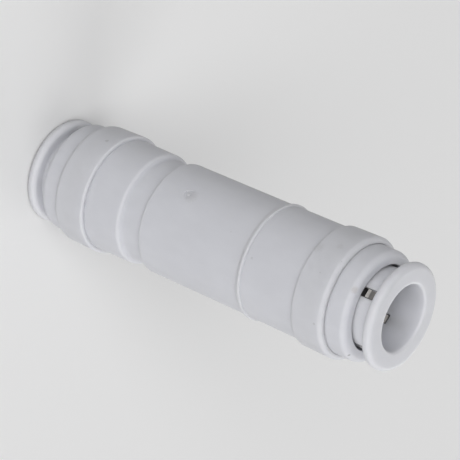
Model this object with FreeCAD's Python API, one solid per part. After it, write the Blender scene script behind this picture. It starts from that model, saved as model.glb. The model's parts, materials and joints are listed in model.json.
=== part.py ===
"""In-line non-return valve with a push-fit socket for 12 mm pipe at each end.

Millimetres, +Z along the flow. The valve stands on the inlet collet's flange, with the origin at the
centre of that face. Radii are built up from the pipe outwards, as clearances and walls. Each socket's
pieces are drawn by their depth into the socket: 0 is the moulding's end face, positive depths lie
inside it and negative ones stand out of it. The inlet faces down and the outlet faces up.
"""
import FreeCAD, Part
import math
import os

os.makedirs("parts", exist_ok=True)

# Pipe and the seat for its end
pipe_r = 6.0
pipe_guide_clearance = 0.12
pipe_guide_length = 3.8
pipe_stop_ledge = 1.4

# Collet
collet_bore_clearance = 0.10
collet_wall = 1.3
collet_stand_out = 9.1
collet_travel = 2.0
inlet_collet_pressed = 1.1
flange_width = 2.32
flange_thickness = 2.0
flange_rounding = 0.95
flange_back_rounding = 0.85
flange_fillet = 0.35
collet_mouth_rounding = 0.5
cone_clearance = 0.10
head_catch = 0.5
head_end_depth = 6.9
head_lead = 0.6
finger_count = 4
finger_slot_depth = -1.0
finger_slot_width = 0.8

# Window and pocket in the collet for each grip tooth
window_width = 1.8
window_outer_gap = 0.6
window_floor_wall = 0.62
window_through_lead = 0.12
window_tip_room = 0.3
outlet_window_angle = 78.0
inlet_window_angle = 34.0

# Grip tooth, a bent stainless strip
tooth_width = 1.5
tooth_thickness = 0.3
tooth_seat_clearance = 0.03
tooth_end_gap = 0.2
tooth_leg_length = 1.3
tooth_crest_run = 0.5
tooth_crest_rise = 0.22
tooth_fall_run = 0.7
tooth_foot_run = 0.9
tooth_dive_run = 0.7
tooth_blade_inset = 0.02
tooth_tip_depth = 0.3
tooth_tip_clearance = 0.08

# Retainer ring
retainer_mouth_gap = 0.45
retainer_mouth_rounding = 0.15
retainer_nose = 4.05
retainer_nose_rounding = 2.1
cone_start_depth = 1.0
cone_length = 3.0
cone_rise = 0.94
retainer_tail = 2.2
retainer_end_wall = 1.3
retainer_clearance = 0.05
snap_ridge_depth = 2.6
snap_ridge_width = 0.8
snap_ridge_height = 0.3
snap_groove_room = 0.1

# Spacer and pipe seal
head_side_room = 0.5
head_end_room = 0.2
spacer_flange_thickness = 0.9
spacer_skirt_length = 0.6
spacer_clearance = 0.05
spacer_bore_clearance = 0.25
seal_grip = 0.07
seal_section = 2.32
seal_width = 2.6
seal_end_room = 0.1
seal_clearance = 0.02
seal_roundness = 0.42

# Spring guide and poppet, from the stem outwards
stem_r = 1.5
stem_clearance = 0.06
stem_end_past_hub = 0.2
hub_wall = 1.1
hub_length = 4.6
spoke_count = 4
spoke_width = 1.2
spoke_thickness = 1.6
spoke_rise = 0.6
spoke_root = 0.4
guide_rim_thickness = 2.9
poppet_travel = 3.4
poppet_stop_room = 0.2
poppet_overlap = 0.5
poppet_head_thickness = 1.35
poppet_head_rounding = 0.5
poppet_boss_wall = 0.9
poppet_seal_thickness = 1.0
poppet_seal_inset = 0.1
poppet_seal_gap = 0.05
poppet_neck_wall = 0.7
poppet_button_lip = 0.7
poppet_button_lead = 0.4
poppet_button_thickness = 1.0
poppet_wing_length = 2.8
poppet_wing_thickness = 0.9
poppet_wing_clearance = 0.1
poppet_wing_root = 0.3

# Spring
spring_wire_r = 0.28
spring_inner_gap = 0.76
spring_end_room = 0.03
spring_pitch = 1.4

# Cartridge with the valve seat
cartridge_wall = 1.1
cartridge_clearance = 0.08
cartridge_end_room = 0.05
cartridge_seal_offset = 1.0
poppet_side_gap = 1.39
seat_plate_thickness = 4.0
seat_lip_height = 0.4
seat_lip_wall = 0.6
seat_lip_gap = 0.2
seat_floor_fillet = 0.4

# Chamber and the joint of the two mouldings
chamber_wall = 1.85
chamber_floor_thickness = 2.8
outlet_floor_thickness = 2.0
outlet_floor_cone = 1.0
spigot_length = 5.6
spigot_clearance = 0.05
spigot_wall = 2.25
small_seal_section = 1.25
small_seal_width = 1.9
small_seal_room = 0.05

# Housing, outside, along its length from the inlet's end face
inlet_cap_length = 6.8
inlet_band_length = 7.8
neck_length = 4.65
barrel_length = 22.45
bead_width = 0.8
outlet_band_length = 11.4
outlet_cap_length = 6.5

# Housing, outside, across; the mouldings widen a little where the tool drew off
mouth_wall = 0.92
cap_draft = 0.14
cap_rounding = 0.85
cap_inner_rounding = 0.35
band_wall = 2.15
band_draft = 0.07
band_rounding = 1.05
neck_depth = 0.82
neck_shoulder = 0.4
neck_fillet = 0.9
barrel_draft = 0.06
barrel_rounding = 0.35
outlet_band_step = 0.04
bead_height = 0.33
bead_slope = 0.15

# Gate mark on the barrel: a shallow ring round the broken-off runner
gate_mark_height = 6.6
gate_mark_angle = 242.0
gate_mark_r = 0.9
gate_mark_depth = 0.12
gate_nib_r = 0.35

# Small moulded edges
edge_rounding = 0.2
fine_rounding = 0.1

# How far a cutting shape runs past what it cuts
past = 1.0

# Socket: radii and depths
collet_bore_r = pipe_r + collet_bore_clearance
collet_neck_r = collet_bore_r + collet_wall
flange_r = collet_neck_r + flange_width
window_floor_r = collet_bore_r + window_floor_wall
retainer_mouth_r = collet_neck_r + retainer_mouth_gap
retainer_end_r = retainer_mouth_r + cone_rise
retainer_r = retainer_end_r + retainer_end_wall
counterbore_r = retainer_r + retainer_clearance
head_r = retainer_mouth_r + head_catch
head_chamber_r = head_r + head_side_room
seal_inner_r = pipe_r - seal_grip
seal_bore_r = seal_inner_r + seal_section
pipe_guide_r = pipe_r + pipe_guide_clearance
flow_r = pipe_r - pipe_stop_ledge

flange_back_depth = flange_thickness - collet_stand_out
window_start_depth = flange_back_depth + window_outer_gap
leg_start_depth = window_start_depth + tooth_end_gap
leg_end_depth = leg_start_depth + tooth_leg_length
crest_depth = leg_end_depth + tooth_crest_run
fall_depth = crest_depth + tooth_fall_run
foot_end_depth = fall_depth + tooth_foot_run
blade_depth = foot_end_depth + tooth_dive_run
window_through_depth = foot_end_depth - window_through_lead
window_end_depth = tooth_tip_depth + window_tip_room
cone_end_depth = cone_start_depth + cone_length
retainer_depth = cone_end_depth + retainer_tail
snap_ridge_end = snap_ridge_depth + snap_ridge_width
spacer_top_depth = head_end_depth + collet_travel + head_end_room
step_depth = spacer_top_depth + spacer_flange_thickness
skirt_end_depth = step_depth + spacer_skirt_length
seal_top_depth = skirt_end_depth + seal_end_room
seal_floor_depth = seal_top_depth + seal_width + seal_end_room
pipe_stop_depth = seal_floor_depth + pipe_guide_length

# Cartridge, chamber and outside: radii
hub_bore_r = stem_r + stem_clearance
hub_r = hub_bore_r + hub_wall
spring_mean_r = hub_r + spring_inner_gap + spring_wire_r
poppet_boss_r = stem_r + poppet_boss_wall
poppet_neck_r = stem_r + poppet_neck_wall
poppet_button_r = poppet_neck_r + poppet_button_lip
lip_inner_r = flow_r + seat_lip_gap
lip_outer_r = lip_inner_r + seat_lip_wall
poppet_head_r = lip_outer_r + poppet_overlap
cartridge_bore_r = poppet_head_r + poppet_side_gap
cartridge_r = cartridge_bore_r + cartridge_wall
chamber_r = cartridge_r + cartridge_clearance
spigot_r = chamber_r - spigot_clearance
spigot_bore_r = spigot_r - spigot_wall
cap_small_r = counterbore_r + mouth_wall
cap_large_r = cap_small_r + cap_draft
inlet_band_small_r = seal_bore_r + band_wall
inlet_band_large_r = inlet_band_small_r + band_draft
barrel_small_r = chamber_r + chamber_wall
barrel_large_r = barrel_small_r + barrel_draft
neck_r = barrel_small_r - neck_depth
outlet_band_small_r = barrel_large_r + outlet_band_step
outlet_band_large_r = outlet_band_small_r + band_draft
bead_r = outlet_band_small_r + bead_height

# Heights
housing_bottom = collet_stand_out - inlet_collet_pressed
cap_inner_face = housing_bottom + inlet_cap_length
band_inner_face = cap_inner_face + inlet_band_length
barrel_bottom = band_inner_face + neck_length
barrel_top = barrel_bottom + barrel_length
bead_top = barrel_top + bead_width
outlet_cap_face = bead_top + outlet_band_length
housing_top = outlet_cap_face + outlet_cap_length
chamber_bottom = housing_bottom + pipe_stop_depth + chamber_floor_thickness
spigot_bottom = barrel_top - spigot_length
outlet_stop = housing_top - pipe_stop_depth
outlet_floor = outlet_stop - outlet_floor_thickness

cartridge_bottom = chamber_bottom + cartridge_end_room
seat_top = cartridge_bottom + seat_plate_thickness
seal_face = seat_top + seat_lip_height + poppet_seal_gap
head_bottom = seal_face + poppet_seal_thickness
head_top = head_bottom + poppet_head_thickness
guide_top = spigot_bottom - cartridge_end_room
guide_bottom = guide_top - guide_rim_thickness
spoke_bottom = guide_bottom + spoke_rise
hub_bottom = guide_top - hub_length
boss_top = hub_bottom - poppet_travel - poppet_stop_room
stem_top = guide_top + stem_end_past_hub

centre = FreeCAD.Vector(0, 0, 0)
along_axis = FreeCAD.Vector(0, 0, 1)


def closed_face(corners):
    """Face in the XZ plane with the outline's corners (radius, height, rounding), each rounding an arc."""
    count = len(corners)
    starts, ends, middles = [], [], []
    for i in range(count):
        here = FreeCAD.Vector(corners[i][0], 0, corners[i][1])
        before = FreeCAD.Vector(corners[i - 1][0], 0, corners[i - 1][1]) - here
        after = FreeCAD.Vector(corners[(i + 1) % count][0], 0, corners[(i + 1) % count][1]) - here
        rounding = corners[i][2] if len(corners[i]) > 2 else 0
        if rounding == 0:
            starts.append(here)
            ends.append(here)
            middles.append(None)
            continue
        half = before.getAngle(after) / 2
        run = min(rounding / math.tan(half), 0.49 * before.Length, 0.49 * after.Length)
        radius = run * math.tan(half)
        before.normalize()
        after.normalize()
        inward = before + after
        inward.normalize()
        starts.append(here + before * run)
        ends.append(here + after * run)
        middles.append(here + inward * (radius / math.sin(half) - radius))
    edges = []
    for i in range(count):
        if middles[i] is not None:
            edges.append(Part.Arc(starts[i], middles[i], ends[i]).toShape())
        following = starts[(i + 1) % count]
        if ends[i].distanceToPoint(following) > 1e-6:
            edges.append(Part.LineSegment(ends[i], following).toShape())
    return Part.Face(Part.Wire(edges))


def turned(corners):
    """Solid of revolution about Z of an outline of (radius, height, rounding) corners."""
    return closed_face(corners).revolve(centre, along_axis, 360)


def sector_box(inner, outer, low, high, width, angle):
    """Box that runs outwards along one radius, from inner to outer, centred on the angle."""
    box = Part.makeBox(outer - inner, width, high - low, FreeCAD.Vector(inner, -width / 2, low))
    box.rotate(centre, along_axis, angle)
    return box


def at_inlet(shape):
    """Puts a piece drawn by depth into the lower socket."""
    placed = shape.copy()
    placed.translate(FreeCAD.Vector(0, 0, housing_bottom))
    return placed


def at_outlet(shape):
    """Turns a piece drawn by depth over and puts it into the upper socket."""
    placed = shape.copy()
    placed.rotate(centre, FreeCAD.Vector(1, 0, 0), 180)
    placed.translate(FreeCAD.Vector(0, 0, housing_top))
    return placed


def pressed_in(shape, distance):
    """Moves a piece of a collet, drawn fully out, deeper into its socket."""
    moved = shape.copy()
    moved.translate(FreeCAD.Vector(0, 0, distance))
    return moved


def socket_cavity():
    """Hollow of one socket by depth: counterbore with snap groove, head room, seal bore and pipe guide."""
    groove_start = snap_ridge_depth - snap_groove_room
    groove_end = snap_ridge_end + snap_groove_room
    groove_r = counterbore_r + snap_ridge_height
    return turned([
        (0, -past), (counterbore_r, -past),
        (counterbore_r, groove_start), (groove_r, groove_start + snap_ridge_height),
        (groove_r, groove_end), (counterbore_r, groove_end),
        (counterbore_r, retainer_depth), (head_chamber_r, retainer_depth),
        (head_chamber_r, step_depth), (seal_bore_r, step_depth),
        (seal_bore_r, seal_floor_depth), (pipe_guide_r, seal_floor_depth),
        (pipe_guide_r, pipe_stop_depth), (0, pipe_stop_depth)])


# Valve body
def valve_body():
    outside = turned([
        (0, housing_bottom), (cap_small_r, housing_bottom, cap_rounding),
        (cap_large_r, cap_inner_face, cap_inner_rounding), (inlet_band_large_r, cap_inner_face),
        (inlet_band_small_r, band_inner_face, band_rounding),
        (neck_r, band_inner_face + neck_shoulder, neck_fillet), (neck_r, barrel_bottom, barrel_rounding),
        (barrel_small_r, barrel_bottom, barrel_rounding),
        (barrel_large_r, barrel_top), (0, barrel_top)])
    chamber = turned([
        (0, chamber_bottom), (chamber_r, chamber_bottom), (chamber_r, barrel_top + past),
        (0, barrel_top + past)])
    passage = Part.makeCylinder(flow_r, barrel_top, centre)
    return outside.cut(at_inlet(socket_cavity())).cut(chamber).cut(passage).cut(gate_ring())


def gate_ring():
    """Ring-shaped recess in the barrel's side, with the runner's nib left standing in the middle."""
    bottom = FreeCAD.Vector(barrel_small_r - gate_mark_depth, 0, barrel_bottom + gate_mark_height)
    outwards = FreeCAD.Vector(1, 0, 0)
    ring = Part.makeCylinder(gate_mark_r, past, bottom, outwards)
    ring = ring.cut(Part.makeCylinder(gate_nib_r, past, bottom, outwards))
    ring.rotate(centre, along_axis, gate_mark_angle)
    return ring


# End socket
def end_socket():
    seal_low, seal_high = spigot_seal_groove()
    groove_r = spigot_r - small_seal_section
    outside = turned([
        (0, spigot_bottom), (spigot_r, spigot_bottom, edge_rounding),
        (spigot_r, seal_low), (groove_r, seal_low), (groove_r, seal_high), (spigot_r, seal_high),
        (spigot_r, barrel_top), (outlet_band_small_r, barrel_top),
        (bead_r, barrel_top + bead_slope, edge_rounding), (bead_r, bead_top - bead_slope, edge_rounding),
        (outlet_band_small_r, bead_top), (outlet_band_large_r, outlet_cap_face, fine_rounding),
        (cap_small_r, outlet_cap_face, edge_rounding), (cap_large_r, housing_top, cap_rounding),
        (0, housing_top)])
    passage = turned([
        (0, spigot_bottom - past), (spigot_bore_r, spigot_bottom - past),
        (spigot_bore_r, outlet_floor - outlet_floor_cone), (flow_r, outlet_floor),
        (flow_r, outlet_stop + past), (0, outlet_stop + past)])
    return outside.cut(at_outlet(socket_cavity())).cut(passage)


def spigot_seal_groove():
    """Lower and upper face of the groove for the body seal, midway along the spigot."""
    middle = barrel_top - spigot_length / 2
    half = small_seal_width / 2 + small_seal_room
    return middle - half, middle + half


# Seals
def seal_ring(inner, outer, low, high):
    """O-ring as it lies squeezed: flat where it bears on the walls, round at both sides."""
    rounding = (outer - inner) * seal_roundness
    return turned([
        (inner, low, rounding), (outer, low, rounding), (outer, high, rounding), (inner, high, rounding)])


def tube_seal():
    outer = seal_bore_r - seal_clearance
    return seal_ring(seal_inner_r, outer, seal_top_depth, seal_top_depth + seal_width)


def body_seal():
    low, high = spigot_seal_groove()
    inner = spigot_r - small_seal_section + seal_clearance
    return seal_ring(inner, chamber_r - seal_clearance, low + small_seal_room, high - small_seal_room)


def cartridge_seal():
    low, high = cartridge_seal_groove()
    inner = cartridge_r - small_seal_section + seal_clearance
    return seal_ring(inner, chamber_r - seal_clearance, low + small_seal_room, high - small_seal_room)


# Retainer ring
def retainer():
    ridge_r = retainer_r + snap_ridge_height
    return turned([
        (retainer_mouth_r, -retainer_nose, retainer_mouth_rounding),
        (retainer_mouth_r, cone_start_depth), (retainer_end_r, cone_end_depth),
        (retainer_end_r, retainer_depth), (retainer_r, retainer_depth),
        (retainer_r, snap_ridge_end), (ridge_r, snap_ridge_end),
        (ridge_r, snap_ridge_depth + snap_ridge_height), (retainer_r, snap_ridge_depth),
        (retainer_r, -retainer_nose, retainer_nose_rounding)])


# Spacer
def spacer():
    inner = pipe_r + spacer_bore_clearance
    return turned([
        (inner, spacer_top_depth, edge_rounding),
        (head_chamber_r - spacer_clearance, spacer_top_depth, edge_rounding),
        (head_chamber_r - spacer_clearance, step_depth), (seal_bore_r - spacer_clearance, step_depth),
        (seal_bore_r - spacer_clearance, skirt_end_depth), (inner, skirt_end_depth)])


# Collet
def collet(window_angle):
    """Flanged release collet with slotted fingers, and a window with a pocket for each grip tooth."""
    shoulder_r = retainer_mouth_r - cone_clearance
    shoulder_depth = cone_start_depth - (shoulder_r - collet_neck_r)
    head_depth = cone_start_depth + (head_r - shoulder_r) * cone_length / cone_rise
    body = turned([
        (collet_bore_r, -collet_stand_out, collet_mouth_rounding),
        (flange_r, -collet_stand_out, flange_rounding),
        (flange_r, flange_back_depth, flange_back_rounding),
        (collet_neck_r, flange_back_depth, flange_fillet),
        (collet_neck_r, shoulder_depth), (shoulder_r, cone_start_depth), (head_r, head_depth),
        (head_r, head_end_depth - head_lead), (head_r - head_lead / 2, head_end_depth),
        (collet_bore_r, head_end_depth)])
    for i in range(finger_count):
        angle = window_angle + i * 360 / finger_count
        between = angle + 180 / finger_count
        slot = sector_box(0, head_r + past, finger_slot_depth, head_end_depth + past,
                          finger_slot_width, between)
        pocket = sector_box(window_floor_r, collet_neck_r + past, window_start_depth, window_end_depth,
                            window_width, angle)
        window = sector_box(0, collet_neck_r + past, window_through_depth, window_end_depth,
                            window_width, angle)
        body = body.cut(slot).cut(pocket).cut(window)
    return body


# Grip tooth
def tooth(angle):
    """Stainless strip: leg, crest and foot on the pocket's floor, and through the wall a blade that bites."""
    half = tooth_thickness / 2
    seat_r = window_floor_r + tooth_seat_clearance + half
    blade_r = collet_bore_r + tooth_blade_inset + half
    tip_r = pipe_r + tooth_tip_clearance + half
    line = [
        (seat_r, leg_start_depth), (seat_r, leg_end_depth), (seat_r + tooth_crest_rise, crest_depth),
        (seat_r, fall_depth), (seat_r, foot_end_depth), (blade_r, blade_depth), (tip_r, tooth_tip_depth)]
    strip = Part.Face(Part.makePolygon(offset_line(line, half)))
    solid = strip.extrude(FreeCAD.Vector(0, tooth_width, 0))
    solid.translate(FreeCAD.Vector(0, -tooth_width / 2, 0))
    solid.rotate(centre, along_axis, angle)
    return solid


def offset_line(line, half):
    """Closed outline at half a thickness to each side of an open line of (radius, height) points."""
    directions = []
    for (r0, z0), (r1, z1) in zip(line[:-1], line[1:]):
        length = math.hypot(r1 - r0, z1 - z0)
        directions.append(((r1 - r0) / length, (z1 - z0) / length))
    outer, inner = [], []
    for i, (r, z) in enumerate(line):
        before = directions[max(i - 1, 0)]
        after = directions[min(i, len(directions) - 1)]
        nr, nz = before[1] + after[1], -(before[0] + after[0])
        scale = 2 * half / (nr * nr + nz * nz)
        outer.append(FreeCAD.Vector(r + nr * scale, 0, z + nz * scale))
        inner.append(FreeCAD.Vector(r - nr * scale, 0, z - nz * scale))
    return outer + inner[::-1] + outer[:1]


# Check cartridge
def cartridge_seal_groove():
    """Lower and upper face of the groove round the cartridge's seat plate."""
    low = cartridge_bottom + cartridge_seal_offset
    return low, low + small_seal_width + 2 * small_seal_room


def check_cartridge():
    low, high = cartridge_seal_groove()
    groove_r = cartridge_r - small_seal_section
    lip_top = seat_top + seat_lip_height
    return turned([
        (flow_r, cartridge_bottom, edge_rounding), (cartridge_r, cartridge_bottom, edge_rounding),
        (cartridge_r, low), (groove_r, low), (groove_r, high), (cartridge_r, high),
        (cartridge_r, guide_bottom), (cartridge_bore_r, guide_bottom),
        (cartridge_bore_r, seat_top, seat_floor_fillet), (lip_outer_r, seat_top),
        (lip_outer_r, lip_top, edge_rounding), (lip_inner_r, lip_top, edge_rounding), (flow_r, seat_top)])


# Spring guide
def spring_guide():
    rim = turned([
        (cartridge_bore_r, guide_bottom), (cartridge_r, guide_bottom),
        (cartridge_r, guide_top, edge_rounding), (cartridge_bore_r, guide_top, edge_rounding)])
    hub = turned([
        (hub_bore_r, hub_bottom, fine_rounding), (hub_r, hub_bottom, edge_rounding),
        (hub_r, guide_top, edge_rounding), (hub_bore_r, guide_top, fine_rounding)])
    bridge = rim.fuse(hub)
    for i in range(spoke_count):
        spoke = sector_box(hub_bore_r + spoke_root, cartridge_bore_r + spoke_root, spoke_bottom,
                           spoke_bottom + spoke_thickness, spoke_width, i * 360 / spoke_count)
        bridge = bridge.fuse(spoke)
    return bridge.removeSplitter()


# Poppet
def poppet():
    """Head with its stem above, and below it a neck and button for the seal, and cross wings in the bore."""
    button_bottom = seal_face - poppet_button_thickness
    body = turned([
        (0, button_bottom), (poppet_button_r - poppet_button_lead, button_bottom),
        (poppet_button_r, button_bottom + poppet_button_lead),
        (poppet_button_r, seal_face), (poppet_neck_r, seal_face), (poppet_neck_r, head_bottom),
        (poppet_head_r, head_bottom, edge_rounding), (poppet_head_r, head_top, poppet_head_rounding),
        (poppet_boss_r, head_top, edge_rounding), (poppet_boss_r, boss_top, edge_rounding),
        (stem_r, boss_top), (stem_r, stem_top, edge_rounding), (0, stem_top)])
    wing_r = flow_r - poppet_wing_clearance
    wing_bottom = button_bottom - poppet_wing_length
    wing_length = poppet_wing_length + poppet_wing_root
    wing = Part.makeBox(2 * wing_r, poppet_wing_thickness, wing_length,
                        FreeCAD.Vector(-wing_r, -poppet_wing_thickness / 2, wing_bottom))
    across = wing.copy()
    across.rotate(centre, along_axis, 90)
    bore_shape = Part.makeCylinder(wing_r, wing_length, FreeCAD.Vector(0, 0, wing_bottom))
    return body.fuse(wing.fuse(across).common(bore_shape)).removeSplitter()


def poppet_seal():
    inner = poppet_neck_r + seal_clearance
    outer = poppet_head_r - poppet_seal_inset
    return turned([
        (inner, seal_face, fine_rounding), (outer, seal_face, edge_rounding), (outer, head_bottom),
        (inner, head_bottom)])


# Spring
def check_spring():
    """Plain coil between the poppet's head and the guide's spokes, in quarter turns swept one by one."""
    low = head_top + spring_end_room + spring_wire_r
    high = spoke_bottom - spring_end_room - spring_wire_r
    quarter_turns = round(4 * (high - low) / spring_pitch)
    rise = (high - low) / quarter_turns
    path = Part.Wire(Part.makeHelix(4 * rise, rise, spring_mean_r).Edges)
    section = Part.makeCircle(spring_wire_r, FreeCAD.Vector(spring_mean_r, 0, 0), FreeCAD.Vector(0, 1, 0))
    quarter = path.makePipeShell([Part.Wire(section)], True, True)
    pieces = []
    for i in range(quarter_turns):
        piece = quarter.copy()
        piece.rotate(centre, along_axis, i * 90)
        piece.translate(FreeCAD.Vector(0, 0, low + i * rise))
        pieces.append(piece)
    return pieces[0].fuse(pieces[1:])


def export(shape, node):
    """Writes one node's solid and prints what it holds."""
    solids = shape.Solids
    piece = solids[0] if len(solids) == 1 else shape
    piece.exportStep("parts/" + node + ".step")
    print(node, "solids", len(solids), "volume %.1f" % shape.Volume, "valid", shape.isValid())


export(valve_body(), "valve_body")
export(end_socket(), "end_socket")
export(body_seal(), "body_seal")
export(check_cartridge(), "check_cartridge")
export(cartridge_seal(), "cartridge_seal")
export(spring_guide(), "spring_guide")
export(poppet(), "poppet")
export(poppet_seal(), "poppet_seal")
export(check_spring(), "check_spring")
for end, place, window_angle, pressed in (("inlet", at_inlet, inlet_window_angle, inlet_collet_pressed),
                                          ("outlet", at_outlet, -outlet_window_angle, 0)):
    export(place(retainer()), end + "_retainer")
    export(place(spacer()), end + "_spacer")
    export(place(tube_seal()), end + "_tube_seal")
    export(place(pressed_in(collet(window_angle), pressed)), end + "_collet")
    for i in range(finger_count):
        strip = tooth(window_angle + i * 360 / finger_count)
        export(place(pressed_in(strip, pressed)), end + "_tooth_" + str(i + 1))
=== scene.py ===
import bpy
import json
import math
from mathutils import Matrix, Vector


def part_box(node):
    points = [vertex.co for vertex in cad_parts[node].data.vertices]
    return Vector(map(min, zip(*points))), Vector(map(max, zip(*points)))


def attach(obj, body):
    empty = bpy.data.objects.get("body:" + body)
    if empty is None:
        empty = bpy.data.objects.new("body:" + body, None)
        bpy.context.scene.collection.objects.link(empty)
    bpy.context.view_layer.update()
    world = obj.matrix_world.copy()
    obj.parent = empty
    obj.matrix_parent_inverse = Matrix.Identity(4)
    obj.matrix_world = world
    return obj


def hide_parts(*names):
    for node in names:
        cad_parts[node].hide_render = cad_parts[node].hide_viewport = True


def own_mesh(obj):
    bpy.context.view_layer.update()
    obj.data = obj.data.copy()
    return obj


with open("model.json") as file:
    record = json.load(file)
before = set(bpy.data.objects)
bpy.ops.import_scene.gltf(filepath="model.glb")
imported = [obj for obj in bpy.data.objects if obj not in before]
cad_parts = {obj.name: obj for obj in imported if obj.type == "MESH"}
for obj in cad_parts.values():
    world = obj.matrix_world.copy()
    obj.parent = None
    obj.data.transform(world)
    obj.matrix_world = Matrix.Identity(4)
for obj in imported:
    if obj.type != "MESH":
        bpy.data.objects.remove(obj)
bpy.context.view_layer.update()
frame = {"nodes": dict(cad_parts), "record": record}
nodes = frame["nodes"]
MM = 0.001

# Camera: how far the valve's axis leans towards the viewer and its slope in the photograph; the lens and its
# sensor in millimetres, distances in metres
AXIS_LEAN = math.radians(32.55)
AXIS_SLOPE = math.radians(23.53)
LENS = 209.3
SENSOR_WIDTH = 36
CAMERA_DISTANCE = 0.4679
CAMERA_NEAR = 0.01
CAMERA_FAR = 10
AIM_HEIGHT = 0.03974
AIM_UP = 0.002155

# Colours
WHITE_ACETAL = (0.655, 0.661, 0.698)
COLLET_ACETAL = (0.690, 0.695, 0.728)
NATURAL_ACETAL = (0.680, 0.680, 0.665)
RUBBED_WHITE = (0.9, 0.9, 0.92)
# Corner colour: partly dust, partly painted shade in corners and seams
CORNER_DUST_AND_SHADE = (0.27, 0.26, 0.245)
SPECK = (0.10, 0.095, 0.09)
SMUDGE = (0.42, 0.41, 0.41)
BROWN_STAIN = (0.40, 0.36, 0.31)
RUBBER = (0.022, 0.022, 0.024)
RUBBER_BLOOM = (0.060, 0.060, 0.062)
STRIP_STEEL = (0.20, 0.193, 0.185)
WIRE_STEEL = (0.46, 0.46, 0.46)
LINE_SHADE = (0.20, 0.195, 0.19)
STEEL_STAIN = (0.27, 0.25, 0.23)

# Acetal: how it shines and glows, then each kind's roughness and how strongly its corners are darkened by
# dust and painted shade
ACETAL_IOR = 1.48
ACETAL_SPECULAR = 0.4
ACETAL_GLOW = 0.8
ACETAL_GLOW_DEPTH = 2.0 * MM
ACETAL_RELIEF = 0.012 * MM
WHITE_ROUGHNESS = 0.54
WHITE_DUST_AND_SHADE = 0.28
COLLET_ROUGHNESS = 0.50
COLLET_DUST_AND_SHADE = 0.25
NATURAL_ROUGHNESS = 0.46
NATURAL_DUST_AND_SHADE = 0.15

# Rubber and steel
RUBBER_RELIEF = 0.02 * MM
RUBBER_ROUGHNESS = (0.45, 0.75)
STEEL_RELIEF = 0.006 * MM
STRIP_ROUGHNESS = 0.36
WIRE_ROUGHNESS = 0.26

# Noise patterns, in cells a metre, and how far they are drawn out along the valve's axis
SHADE_CELLS = 110
CLOUD_CELLS = 420
CLOUD_STRETCH = 0.45
GRAIN_CELLS = 6500
WAVE_CELLS = 260
WAVE_STRETCH = 0.25
WAVE_SHARE = 1.6
DUST_AND_SHADE_CELLS = 900
RUB_CELLS = 700
MARK_CELLS = 2600
LINE_CELLS = 9000
LINE_STRETCH = 0.04
STAIN_CELLS = 1300
BLOOM_CELLS = 1400
RUBBER_CELLS = 5200

# How patterns show: the span of values in which each one fades, and what it fades between
FULL_SPAN = (0.0, 1.0)
BOTH_WAYS = (-1.0, 1.0)
FADE_OUT = (1.0, 0.0)
NOISE_SPAN = (0.3, 0.7)
NOISE_MIDDLE = 0.5
CLOUD_SHADES = (0.985, 1.015)
CORNER_SPAN = (0.25, 0.75)
CORNER_SAMPLES = 8
DUST_AND_SHADE_REACH = 1.8 * MM
DUST_AND_SHADE_PATCHES = (0.45, 1.0)
EDGE_SPAN = (0.82, 0.985)
EDGE_SAMPLES = 4
RUB_SPAN = (0.35, 0.6)
RUB_PATCHES = (0.3, 1.0)
RUB_LIGHTER = 0.04
RUB_SMOOTHER = 0.08
MARK_SPAN = (0.4, 1.0)
LINE_SPAN = (0.35, 0.65)
LINE_SHADES = (0.0, 0.35)
STAIN_SPAN = (0.45, 0.7)
STAIN_SHADES = (0.0, 0.3)
DULL_SPAN = (0.35, 0.7)
DULL_ROUGHNESS = (-0.06, 0.14)
BLOOM_SPAN = (0.45, 0.75)
BLOOM_SHADES = (0.0, 0.8)

# Spring: the wire's radius, its turns and the straight steps that each turn is made of
WIRE_RADIUS = 0.28 * MM
SPRING_TURNS = 4.5
STEPS_A_TURN = 64
WIRE_SIDES = 20

# Marks that the photograph shows, in millimetres and degrees: height, angle round the axis and distance from
# it, then the mark's radius, colour and strength
MARKS = {
    "gate smudge": ((34.6, 243.5, 10.4), 1.50, SMUDGE, 0.20),
    "inlet cap speck": ((12.49, 225.8, 11.15), 0.45, SPECK, 0.22),
    "outlet cap speck": ((67.0, 307.5, 11.1), 0.30, SPECK, 0.20),
    "band speck": ((51.6, 275.0, 10.4), 0.30, SPECK, 0.15),
    "cap scuff": ((65.6, 232.3, 11.1), 0.80, SMUDGE, 0.15),
    "seam scuff": ((62.3, 241.7, 11.05), 1.30, SMUDGE, 0.25),
    "nose speck": ((72.16, 342.8, 9.73), 0.35, SPECK, 0.50),
    "nose stain": ((72.15, 263.5, 9.80), 0.80, BROWN_STAIN, 0.30)}

# Lamps, in metres: where each shines from, its strength on a face turned to it, its width and its height
LAMP_DISTANCE = 2.00
LAMPS = {
    "key": (Vector((0.110, -0.945, 0.280)), 0.46, 2.40, 1.00),
    "fill": (Vector((0.919, 0.298, 0.270)), 0.36, 1.60, 1.00),
    "top": (Vector((0.05, -0.70, 0.72)), 0.27, 1.20, 1.20),
    "back": (Vector((0.05, 0.97, 0.25)), 0.28, 1.60, 0.80)}

# Surroundings: the sky's light, how pale the backdrop and the floor look, and half the floor's width
SKY_STRENGTH = 0.32
BACKDROP = 0.72
FLOOR_SEEN = 0.96
FLOOR_BOUNCE = 0.36
FLOOR_ROUGHNESS = 0.9
FLOOR_SPECULAR = 0.1
FLOOR_HALF = 1.5


def node_group(name, inputs, outputs):
    """An empty shader node group; inputs are (label, kind, value) and outputs (label, kind)."""
    tree = bpy.data.node_groups.new(name, "ShaderNodeTree")
    for label, kind, value in inputs:
        socket = tree.interface.new_socket(label, in_out="INPUT", socket_type="NodeSocket" + kind)
        if value is not None:
            socket.default_value = value
    for label, kind in outputs:
        tree.interface.new_socket(label, in_out="OUTPUT", socket_type="NodeSocket" + kind)
    return tree, tree.nodes.new("NodeGroupInput"), tree.nodes.new("NodeGroupOutput")


def feed(tree, socket, value):
    """Gives a socket its value: a number is set, another socket is linked."""
    if isinstance(value, (int, float)):
        socket.default_value = value
    else:
        tree.links.new(value, socket)


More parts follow.
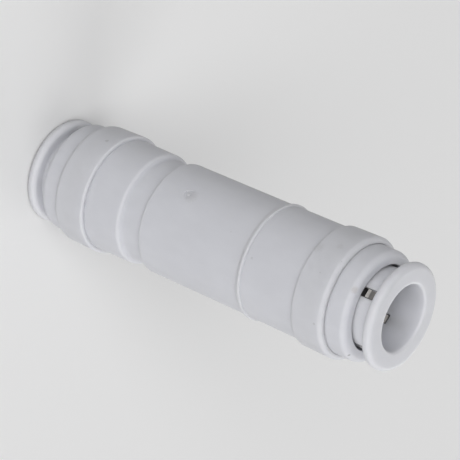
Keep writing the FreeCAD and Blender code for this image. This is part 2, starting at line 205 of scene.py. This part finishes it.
def noise(tree, vector, cells, detail, roughness=0.5):
    """A noise texture's factor, at a scale in cells a metre."""
    node = tree.nodes.new("ShaderNodeTexNoise")
    node.inputs["Scale"].default_value = cells
    node.inputs["Detail"].default_value = detail
    node.inputs["Roughness"].default_value = roughness
    tree.links.new(vector, node.inputs["Vector"])
    return node.outputs["Fac"]


def calculate(tree, operation, first, second):
    """One Math node; either input is a socket or a number."""
    node = tree.nodes.new("ShaderNodeMath")
    node.operation = operation
    feed(tree, node.inputs[0], first)
    feed(tree, node.inputs[1], second)
    return node.outputs[0]


def product(tree, first, second):
    """The product of two sockets or numbers."""
    return calculate(tree, "MULTIPLY", first, second)


def spread(tree, value, span, results):
    """A value's span laid over a pair of results, numbers or sockets, and held between them."""
    node = tree.nodes.new("ShaderNodeMapRange")
    tree.links.new(value, node.inputs["Value"])
    for label, end in zip(("From Min", "From Max", "To Min", "To Max"), (*span, *results)):
        feed(tree, node.inputs[label], end)
    return node.outputs["Result"]


def blend(tree, factor, first, second, mode="MIX"):
    """A colour Mix node; the colours are sockets or triples."""
    node = tree.nodes.new("ShaderNodeMix")
    node.data_type = "RGBA"
    node.blend_type = mode
    feed(tree, node.inputs[0], factor)
    for socket, value in ((node.inputs[6], first), (node.inputs[7], second)):
        if isinstance(value, tuple):
            socket.default_value = (*value, 1)
        else:
            tree.links.new(value, socket)
    return node.outputs[2]


def drawn_out(tree, vector, along):
    """The same coordinates with Z scaled, so that a pattern on them is drawn out along the valve's axis."""
    node = tree.nodes.new("ShaderNodeMapping")
    node.inputs["Scale"].default_value = (1, 1, along)
    tree.links.new(vector, node.inputs["Vector"])
    return node.outputs["Vector"]


def between(tree, first, second, operation):
    """A Vector Math node's value for two vectors: their distance or dot product."""
    node = tree.nodes.new("ShaderNodeVectorMath")
    node.operation = operation
    tree.links.new(first, node.inputs[0])
    tree.links.new(second, node.inputs[1])
    return node.outputs["Value"]


def moulded_skin():
    """Plastic from the mould: faint broad shading, a satin that varies, fine grain and flow waves."""
    tree, start, end = node_group(
        "moulded_skin",
        [("Vector", "Vector", None), ("Colour", "Color", None), ("Shading", "Float", 0.03),
         ("Roughness", "Float", 0.4), ("Satin Spread", "Float", 0.08), ("Grain", "Float", 0.6)],
        [("Colour", "Color"), ("Roughness", "Float"), ("Height", "Float")])
    vector = start.outputs["Vector"]
    broad = noise(tree, vector, SHADE_CELLS, detail=3)
    cloud = noise(tree, drawn_out(tree, vector, CLOUD_STRETCH), CLOUD_CELLS, detail=4)
    grain = noise(tree, vector, GRAIN_CELLS, detail=2)
    waves = noise(tree, drawn_out(tree, vector, WAVE_STRETCH), WAVE_CELLS, detail=1)

    half_shading = product(tree, start.outputs["Shading"], 0.5)
    darkest = calculate(tree, "SUBTRACT", 1, half_shading)
    lightest = calculate(tree, "ADD", 1, half_shading)
    shade = spread(tree, broad, NOISE_SPAN, (darkest, lightest))
    shade = product(tree, shade, spread(tree, cloud, NOISE_SPAN, CLOUD_SHADES))
    tint = tree.nodes.new("ShaderNodeCombineColor")
    for socket in tint.inputs:
        tree.links.new(shade, socket)
    colour = blend(tree, 1.0, start.outputs["Colour"], tint.outputs["Color"], "MULTIPLY")

    satin = spread(tree, cloud, FULL_SPAN, BOTH_WAYS)
    satin = product(tree, satin, start.outputs["Satin Spread"])
    rough = calculate(tree, "ADD", start.outputs["Roughness"], satin)
    height = product(tree, grain, start.outputs["Grain"])
    height = calculate(tree, "ADD", height, product(tree, waves, WAVE_SHARE))
    tree.links.new(colour, end.inputs["Colour"])
    tree.links.new(rough, end.inputs["Roughness"])
    tree.links.new(height, end.inputs["Height"])
    return tree


def corner_dust_and_shade():
    """Painted shade and grey dust in corners and seams: darker where ambient occlusion finds a corner,
    broken up by noise.
    """
    tree, start, end = node_group(
        "corner_dust_and_shade",
        [("Vector", "Vector", None), ("Colour", "Color", None), ("Dirt", "Color", None),
         ("Reach", "Float", DUST_AND_SHADE_REACH), ("Amount", "Float", 0.4)],
        [("Colour", "Color")])
    corners = tree.nodes.new("ShaderNodeAmbientOcclusion")
    corners.samples = CORNER_SAMPLES
    tree.links.new(start.outputs["Reach"], corners.inputs["Distance"])
    patches = noise(tree, start.outputs["Vector"], DUST_AND_SHADE_CELLS, detail=4, roughness=0.6)
    # Painted shade: ambient occlusion darkens corners and seams, standing for shade as well as dust
    mask = spread(tree, corners.outputs["AO"], CORNER_SPAN, FADE_OUT)
    mask = product(tree, mask, spread(tree, patches, NOISE_SPAN, DUST_AND_SHADE_PATCHES))
    mask = product(tree, mask, start.outputs["Amount"])
    colour = blend(tree, mask, start.outputs["Colour"], start.outputs["Dirt"])
    tree.links.new(colour, end.inputs["Colour"])
    return tree


def rubbed_edges():
    """Edges that handling has rubbed smoother and a touch lighter."""
    tree, start, end = node_group(
        "rubbed_edges",
        [("Vector", "Vector", None), ("Colour", "Color", None), ("Roughness", "Float", 0.4),
         ("Width", "Float", 0.3 * MM), ("Amount", "Float", 0.5)],
        [("Colour", "Color"), ("Roughness", "Float")])
    rounded = tree.nodes.new("ShaderNodeBevel")
    rounded.samples = EDGE_SAMPLES
    tree.links.new(start.outputs["Width"], rounded.inputs["Radius"])
    surface = tree.nodes.new("ShaderNodeNewGeometry")
    alike = between(tree, rounded.outputs["Normal"], surface.outputs["Normal"], "DOT_PRODUCT")
    patches = noise(tree, start.outputs["Vector"], RUB_CELLS, detail=3)
    mask = spread(tree, alike, EDGE_SPAN, FADE_OUT)
    mask = product(tree, mask, spread(tree, patches, RUB_SPAN, RUB_PATCHES))
    mask = product(tree, mask, start.outputs["Amount"])
    lighter = blend(tree, product(tree, mask, RUB_LIGHTER), start.outputs["Colour"], RUBBED_WHITE)
    smoother = product(tree, mask, RUB_SMOOTHER)
    rough = calculate(tree, "SUBTRACT", start.outputs["Roughness"], smoother)
    tree.links.new(lighter, end.inputs["Colour"])
    tree.links.new(rough, end.inputs["Roughness"])
    return tree


def mark():
    """One soft-edged mark at a place on the surface, ragged by noise."""
    tree, start, end = node_group(
        "mark",
        [("Vector", "Vector", None), ("Colour", "Color", None), ("Mark", "Color", None),
         ("Place", "Vector", (0, 0, 0)), ("Radius", "Float", 0.2 * MM), ("Amount", "Float", 0.8)],
        [("Colour", "Color")])
    away = between(tree, start.outputs["Vector"], start.outputs["Place"], "DISTANCE")
    ragged = noise(tree, start.outputs["Vector"], MARK_CELLS, detail=3)
    ragged = calculate(tree, "SUBTRACT", ragged, NOISE_MIDDLE)
    reach = calculate(tree, "DIVIDE", away, start.outputs["Radius"])
    reach = calculate(tree, "ADD", reach, ragged)
    mask = product(tree, spread(tree, reach, MARK_SPAN, FADE_OUT), start.outputs["Amount"])
    colour = blend(tree, mask, start.outputs["Colour"], start.outputs["Mark"])
    tree.links.new(colour, end.inputs["Colour"])
    return tree


def dust_specks():
    """Sparse dark specks, where the scattered points of a cell pattern happen to lie in the surface."""
    tree, start, end = node_group(
        "dust_specks",
        [("Vector", "Vector", None), ("Colour", "Color", None), ("Speck", "Color", None),
         ("Cell Size", "Float", 3.2 * MM), ("Radius", "Float", 0.16 * MM), ("Amount", "Float", 0.2)],
        [("Colour", "Color")])
    cells = tree.nodes.new("ShaderNodeTexVoronoi")
    tree.links.new(start.outputs["Vector"], cells.inputs["Vector"])
    tree.links.new(calculate(tree, "DIVIDE", 1, start.outputs["Cell Size"]), cells.inputs["Scale"])
    away = product(tree, cells.outputs["Distance"], start.outputs["Cell Size"])
    reach = calculate(tree, "DIVIDE", away, start.outputs["Radius"])
    mask = product(tree, spread(tree, reach, MARK_SPAN, FADE_OUT), start.outputs["Amount"])
    colour = blend(tree, mask, start.outputs["Colour"], start.outputs["Speck"])
    tree.links.new(colour, end.inputs["Colour"])
    return tree


def drawn_lines():
    """Fine lines along the coordinates' Z, left by rolling or drawing, and dull stains over them."""
    tree, start, end = node_group(
        "drawn_lines",
        [("Vector", "Vector", None), ("Colour", "Color", None), ("Roughness", "Float", 0.3)],
        [("Colour", "Color"), ("Roughness", "Float"), ("Height", "Float")])
    vector = start.outputs["Vector"]
    lines = noise(tree, drawn_out(tree, vector, LINE_STRETCH), LINE_CELLS, detail=3, roughness=0.6)
    stains = noise(tree, vector, STAIN_CELLS, detail=3)
    shaded = spread(tree, lines, LINE_SPAN, LINE_SHADES)
    stained = spread(tree, stains, STAIN_SPAN, STAIN_SHADES)
    tone = blend(tree, shaded, start.outputs["Colour"], LINE_SHADE)
    tone = blend(tree, stained, tone, STEEL_STAIN)
    duller = spread(tree, stains, DULL_SPAN, DULL_ROUGHNESS)
    rough = calculate(tree, "ADD", start.outputs["Roughness"], duller)
    tree.links.new(tone, end.inputs["Colour"])
    tree.links.new(rough, end.inputs["Roughness"])
    tree.links.new(lines, end.inputs["Height"])
    return tree


skin_group = moulded_skin()
dust_and_shade_group = corner_dust_and_shade()
edge_group = rubbed_edges()
mark_group = mark()
speck_group = dust_specks()
line_group = drawn_lines()


def new_material(name):
    """An empty material with its tree and its Principled shader."""
    material = bpy.data.materials.new(name)
    material.use_nodes = True
    tree = material.node_tree
    shader = next(n for n in tree.nodes if n.type == "BSDF_PRINCIPLED")
    return material, tree, shader


def coordinates(tree):
    """Where a point of the piece lies, as its Object coordinates."""
    return tree.nodes.new("ShaderNodeTexCoord").outputs["Object"]


def use(tree, group, vector, **values):
    """A group placed in a material; values are sockets, numbers, or colours and places as triples."""
    node = tree.nodes.new("ShaderNodeGroup")
    node.node_tree = group
    tree.links.new(vector, node.inputs["Vector"])
    for label, value in values.items():
        socket = node.inputs[label]
        if isinstance(value, tuple):
            socket.default_value = (*value, 1) if socket.type == "RGBA" else value
        else:
            feed(tree, socket, value)
    return node.outputs


def relief(tree, shader, height, distance):
    """A Bump node from a height to the shader's normal."""
    bump = tree.nodes.new("ShaderNodeBump")
    bump.inputs["Distance"].default_value = distance
    tree.links.new(height, bump.inputs["Height"])
    tree.links.new(bump.outputs["Normal"], shader.inputs["Normal"])


def on_surface(height, angle, distance):
    """A place given in millimetres by its height, its angle in degrees and its distance from the axis."""
    turn = math.radians(angle)
    return (distance * MM * math.cos(turn), distance * MM * math.sin(turn), height * MM)


def acetal(name, colour, roughness, dust_and_shade, marks=()):
    """Moulded acetal, a little translucent; marks are (place, radius, colour, strength)."""
    material, tree, shader = new_material(name)
    place = coordinates(tree)
    skin = use(tree, skin_group, place, Colour=colour, Roughness=roughness)
    worn = use(tree, edge_group, place, Colour=skin["Colour"], Roughness=skin["Roughness"])
    # Corners and seams darkened: dust and painted shade
    dusted_and_shaded = use(tree, dust_and_shade_group, place, Colour=worn["Colour"], Dirt=CORNER_DUST_AND_SHADE, Amount=dust_and_shade)
    shown = use(tree, speck_group, place, Colour=dusted_and_shaded["Colour"], Speck=SPECK)["Colour"]
    for spot, radius, tone, strength in marks:
        shown = use(tree, mark_group, place, Colour=shown, Mark=tone, Place=on_surface(*spot),
                    Radius=radius * MM, Amount=strength)["Colour"]
    tree.links.new(shown, shader.inputs["Base Color"])
    tree.links.new(worn["Roughness"], shader.inputs["Roughness"])
    shader.inputs["IOR"].default_value = ACETAL_IOR
    shader.inputs["Specular IOR Level"].default_value = ACETAL_SPECULAR
    shader.inputs["Subsurface Weight"].default_value = ACETAL_GLOW
    shader.inputs["Subsurface Radius"].default_value = (1.0, 1.0, 1.0)
    shader.inputs["Subsurface Scale"].default_value = ACETAL_GLOW_DEPTH
    relief(tree, shader, skin["Height"], ACETAL_RELIEF)
    return material


def rubber(name):
    """Moulded black rubber with a grey bloom in patches."""
    material, tree, shader = new_material(name)
    place = coordinates(tree)
    patches = noise(tree, place, BLOOM_CELLS, detail=4, roughness=0.6)
    bloom = spread(tree, patches, BLOOM_SPAN, BLOOM_SHADES)
    tree.links.new(blend(tree, bloom, RUBBER, RUBBER_BLOOM), shader.inputs["Base Color"])
    rough = spread(tree, bloom, FULL_SPAN, RUBBER_ROUGHNESS)
    tree.links.new(rough, shader.inputs["Roughness"])
    relief(tree, shader, noise(tree, place, RUBBER_CELLS, detail=3), RUBBER_RELIEF)
    return material


def steel(name, colour, roughness):
    """Stainless steel with the lines of rolling or drawing."""
    material, tree, shader = new_material(name)
    place = coordinates(tree)
    lines = use(tree, line_group, place, Colour=colour, Roughness=roughness)
    tree.links.new(lines["Colour"], shader.inputs["Base Color"])
    tree.links.new(lines["Roughness"], shader.inputs["Roughness"])
    shader.inputs["Metallic"].default_value = 1.0
    relief(tree, shader, lines["Height"], STEEL_RELIEF)
    return material


def dress(node, material):
    """Gives a node its material."""
    mesh = nodes[node].data
    mesh.materials.clear()
    mesh.materials.append(material)


finishes = {
    "white_acetal": acetal("white_acetal", WHITE_ACETAL, WHITE_ROUGHNESS, WHITE_DUST_AND_SHADE, MARKS.values()),
    "collet_acetal": acetal("collet_acetal", COLLET_ACETAL, COLLET_ROUGHNESS, COLLET_DUST_AND_SHADE),
    "natural_acetal": acetal("natural_acetal", NATURAL_ACETAL, NATURAL_ROUGHNESS, NATURAL_DUST_AND_SHADE),
    "black_rubber": rubber("black_rubber"),
    "stainless": steel("stainless_strip", STRIP_STEEL, STRIP_ROUGHNESS),
    "spring_steel": steel("spring_wire", WIRE_STEEL, WIRE_ROUGHNESS)}
for part in frame["record"]["subparts"]:
    dress(part["node"], finishes[part["material_slot"]])


def coil_tree():
    """Geometry Nodes for a plain coil: a spiral about Z with a round wire swept along it."""
    tree = bpy.data.node_groups.new("coil", "GeometryNodeTree")
    inputs = (
        ("Turns", "Float"), ("Radius", "Float"), ("Height", "Float"), ("Wire Radius", "Float"),
        ("Steps a Turn", "Int"), ("Wire Sides", "Int"), ("Material", "Material"))
    sockets = {}
    for label, kind in inputs:
        sockets[label] = tree.interface.new_socket(label, in_out="INPUT", socket_type="NodeSocket" + kind)
    tree.interface.new_socket("Geometry", in_out="OUTPUT", socket_type="NodeSocketGeometry")
    start = tree.nodes.new("NodeGroupInput")
    end = tree.nodes.new("NodeGroupOutput")
    spiral = tree.nodes.new("GeometryNodeCurveSpiral")
    wire = tree.nodes.new("GeometryNodeCurvePrimitiveCircle")
    sweep = tree.nodes.new("GeometryNodeCurveToMesh")
    smooth = tree.nodes.new("GeometryNodeSetShadeSmooth")
    realize = tree.nodes.new("GeometryNodeRealizeInstances")
    paint = tree.nodes.new("GeometryNodeSetMaterial")
    for source, target in (
            (start.outputs["Steps a Turn"], spiral.inputs["Resolution"]),
            (start.outputs["Turns"], spiral.inputs["Rotations"]),
            (start.outputs["Radius"], spiral.inputs["Start Radius"]),
            (start.outputs["Radius"], spiral.inputs["End Radius"]),
            (start.outputs["Height"], spiral.inputs["Height"]),
            (start.outputs["Wire Sides"], wire.inputs["Resolution"]),
            (start.outputs["Wire Radius"], wire.inputs["Radius"]),
            (spiral.outputs["Curve"], sweep.inputs["Curve"]),
            (wire.outputs["Curve"], sweep.inputs["Profile Curve"]),
            (sweep.outputs["Mesh"], smooth.inputs["Geometry"]),
            (smooth.outputs["Geometry"], realize.inputs["Geometry"]),
            (realize.outputs["Geometry"], paint.inputs["Geometry"]),
            (start.outputs["Material"], paint.inputs["Material"]),
            (paint.outputs["Geometry"], end.inputs["Geometry"])):
        tree.links.new(source, target)
    spiral.inputs["Reverse"].default_value = True
    sweep.inputs["Fill Caps"].default_value = True
    return tree, sockets


def coil_mesh(radius, height):
    """The coil's plain mesh, from its mean radius and the height that its wire climbs."""
    tree, sockets = coil_tree()
    values = {
        "Turns": SPRING_TURNS, "Radius": radius, "Height": height, "Wire Radius": WIRE_RADIUS,
        "Steps a Turn": STEPS_A_TURN, "Wire Sides": WIRE_SIDES, "Material": finishes["spring_steel"]}
    holder = bpy.data.objects.new("coil_holder", bpy.data.meshes.new("coil_holder"))
    bpy.context.scene.collection.objects.link(holder)
    maker = holder.modifiers.new("coil", "NODES")
    maker.node_group = tree
    for label, value in values.items():
        maker[sockets[label].identifier] = value
    graph = bpy.context.evaluated_depsgraph_get()
    mesh = bpy.data.meshes.new_from_object(holder.evaluated_get(graph))
    bpy.data.objects.remove(holder)
    return mesh


def coil_spring():
    """The check spring as a smooth coil, fixed to the housing, in place of the CAD spring."""
    low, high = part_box("check_spring")
    mesh = coil_mesh(high[0] - WIRE_RADIUS, high[2] - low[2] - 2 * WIRE_RADIUS)
    mesh.transform(Matrix.Translation((0, 0, low[2] + WIRE_RADIUS)))
    spring = bpy.data.objects.new("spring_coil", mesh)
    bpy.context.scene.collection.objects.link(spring)
    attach(spring, "housing")
    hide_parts("check_spring")
    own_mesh(spring)


def seen_directly(tree):
    """1 for what the camera sees, straight or reflected, and 0 for the light that falls on the valve."""
    path = tree.nodes.new("ShaderNodeLightPath").outputs
    reflected = calculate(tree, "MAXIMUM", path["Is Glossy Ray"], path["Is Transmission Ray"])
    return calculate(tree, "MAXIMUM", path["Is Camera Ray"], reflected)


def floor():
    """Pale matt floor that throws less light back on the valve than it shows the camera."""
    mesh = bpy.data.meshes.new("floor")
    corners = [(-FLOOR_HALF, -FLOOR_HALF, 0), (FLOOR_HALF, -FLOOR_HALF, 0),
               (FLOOR_HALF, FLOOR_HALF, 0), (-FLOOR_HALF, FLOOR_HALF, 0)]
    mesh.from_pydata(corners, [], [(0, 1, 2, 3)])
    plane = bpy.data.objects.new("floor", mesh)
    bpy.context.scene.collection.objects.link(plane)
    material, tree, shader = new_material("floor")
    bounce = (FLOOR_BOUNCE, FLOOR_BOUNCE, FLOOR_BOUNCE)
    seen = (FLOOR_SEEN, FLOOR_SEEN, FLOOR_SEEN)
    tree.links.new(blend(tree, seen_directly(tree), bounce, seen), shader.inputs["Base Color"])
    shader.inputs["Roughness"].default_value = FLOOR_ROUGHNESS
    shader.inputs["Specular IOR Level"].default_value = FLOOR_SPECULAR
    mesh.materials.append(material)


def sky():
    """Even soft light, behind a pale backdrop that only the camera and reflections see."""
    world = bpy.data.worlds.new("sky")
    bpy.context.scene.world = world
    world.use_nodes = True
    tree = world.node_tree
    background = tree.nodes["Background"]
    strength = spread(tree, seen_directly(tree), FULL_SPAN, (SKY_STRENGTH, BACKDROP))
    background.inputs["Color"].default_value = (1, 1, 1, 1)
    tree.links.new(strength, background.inputs["Strength"])


def lamp(name, towards, strength, width, height):
    """A soft box aimed at the valve's middle; at strength 1 it would light a white face to full white."""
    data = bpy.data.lights.new(name, "AREA")
    data.shape = "RECTANGLE"
    data.size = width
    data.size_y = height
    data.energy = strength * (math.pi * LAMP_DISTANCE) ** 2
    box = bpy.data.objects.new(name, data)
    bpy.context.scene.collection.objects.link(box)
    towards = towards.normalized()
    turn = towards.to_track_quat("Z", "Y").to_matrix().to_4x4()
    box.matrix_world = Matrix.Translation(Vector((0, 0, AIM_HEIGHT)) + towards * LAMP_DISTANCE) @ turn
    box.visible_camera = False


def camera():
    """The photograph's view: the axis leans towards the viewer and runs down to the right."""
    data = bpy.data.cameras.new("camera")
    data.lens = LENS
    data.sensor_width = SENSOR_WIDTH
    data.clip_start = CAMERA_NEAR
    data.clip_end = CAMERA_FAR
    back = Vector((0, -math.cos(AXIS_LEAN), math.sin(AXIS_LEAN)))
    level = Vector((1, 0, 0))
    upright = back.cross(level)
    roll = math.pi / 2 + AXIS_SLOPE
    right = level * math.cos(roll) + upright * math.sin(roll)
    up = back.cross(right)
    place = Vector((0, 0, AIM_HEIGHT)) + back * CAMERA_DISTANCE + up * AIM_UP
    turn = Matrix((right, up, back)).transposed().to_4x4()
    view = bpy.data.objects.new("camera", data)
    view.matrix_world = Matrix.Translation(place) @ turn
    bpy.context.scene.collection.objects.link(view)
    bpy.context.scene.camera = view


coil_spring()
floor()
sky()
for lamp_name, settings in LAMPS.items():
    lamp(lamp_name, *settings)
camera()
bpy.context.scene.view_settings.view_transform = "Standard"
